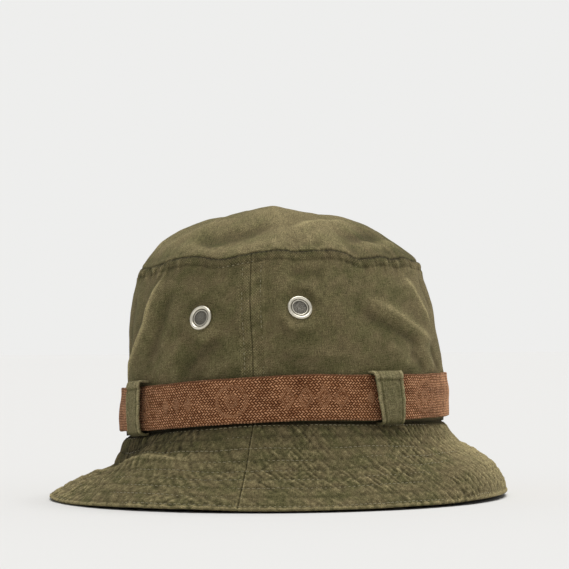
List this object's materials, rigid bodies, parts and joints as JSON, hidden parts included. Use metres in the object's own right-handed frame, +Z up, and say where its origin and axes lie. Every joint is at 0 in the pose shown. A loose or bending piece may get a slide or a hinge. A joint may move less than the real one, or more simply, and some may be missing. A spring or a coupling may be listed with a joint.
{
  "type": "bucket hat",
  "caption": "Soft cotton bucket hat with a domed crown, screened vents, a flared row-stitched brim and a webbing band that turns in belt loops.",
  "frame": {"origin": "middle of the head opening's axis, on the surface that the brim's edge stands on", "axes": "+Z up along the head opening's axis, -Y towards the wall seam between the two front vents, +X to the right of it as it is looked at from the front"},
  "size_m": [0.27, 0.27, 0.1685],
  "materials": {
    "olive_twill": "washed cotton twill, faded along folds and edges",
    "olive_twill_under": "washed cotton twill",
    "loop_twill": "washed cotton twill, folded and edge stitched",
    "interlining": "matte non-woven",
    "sweatband_cloth": "soft cotton",
    "seam_tape": "ribbed cotton tape",
    "label": "blank woven satin",
    "thread": "polyester thread",
    "webbing": "coarse cotton webbing with a tone on tone weave",
    "eyelet_metal": "antique silver plate",
    "screen_wire": "dull grey wire"
  },
  "bodies": {
    "hat": {"top_panel": "olive_twill", "side_panel_left": "olive_twill", "side_panel_right": "olive_twill", "brim_top_left": "olive_twill", "brim_top_right": "olive_twill", "brim_interlining_left": "interlining", "brim_interlining_right": "interlining", "brim_under_left": "olive_twill_under", "brim_under_right": "olive_twill_under", "sweatband": "sweatband_cloth", "top_seam_tape": "seam_tape", "front_seam_tape": "seam_tape", "back_seam_tape": "seam_tape", "size_label": "label", "care_label": "label", "brim_stitching": "thread", "crown_stitching": "thread", "seam_stitching": "thread", "loop_front_left": "loop_twill", "loop_front_right": "loop_twill", "loop_back_left": "loop_twill", "loop_back_right": "loop_twill", "vent_flange_front_left": "eyelet_metal", "vent_flange_front_right": "eyelet_metal", "vent_flange_back_left": "eyelet_metal", "vent_flange_back_right": "eyelet_metal", "vent_washer_front_left": "eyelet_metal", "vent_washer_front_right": "eyelet_metal", "vent_washer_back_left": "eyelet_metal", "vent_washer_back_right": "eyelet_metal", "vent_screen_front_left": "screen_wire", "vent_screen_front_right": "screen_wire", "vent_screen_back_left": "screen_wire", "vent_screen_back_right": "screen_wire"},
    "band": {"webbing_band": "webbing"}
  },
  "joints": [
    {"name": "band_turn", "type": "hinge", "parent": "hat", "child": "band", "pos_m": [0, 0, 0.0595], "axis": [0, 0, 1], "range_deg": [-12, 12]}
  ]
}
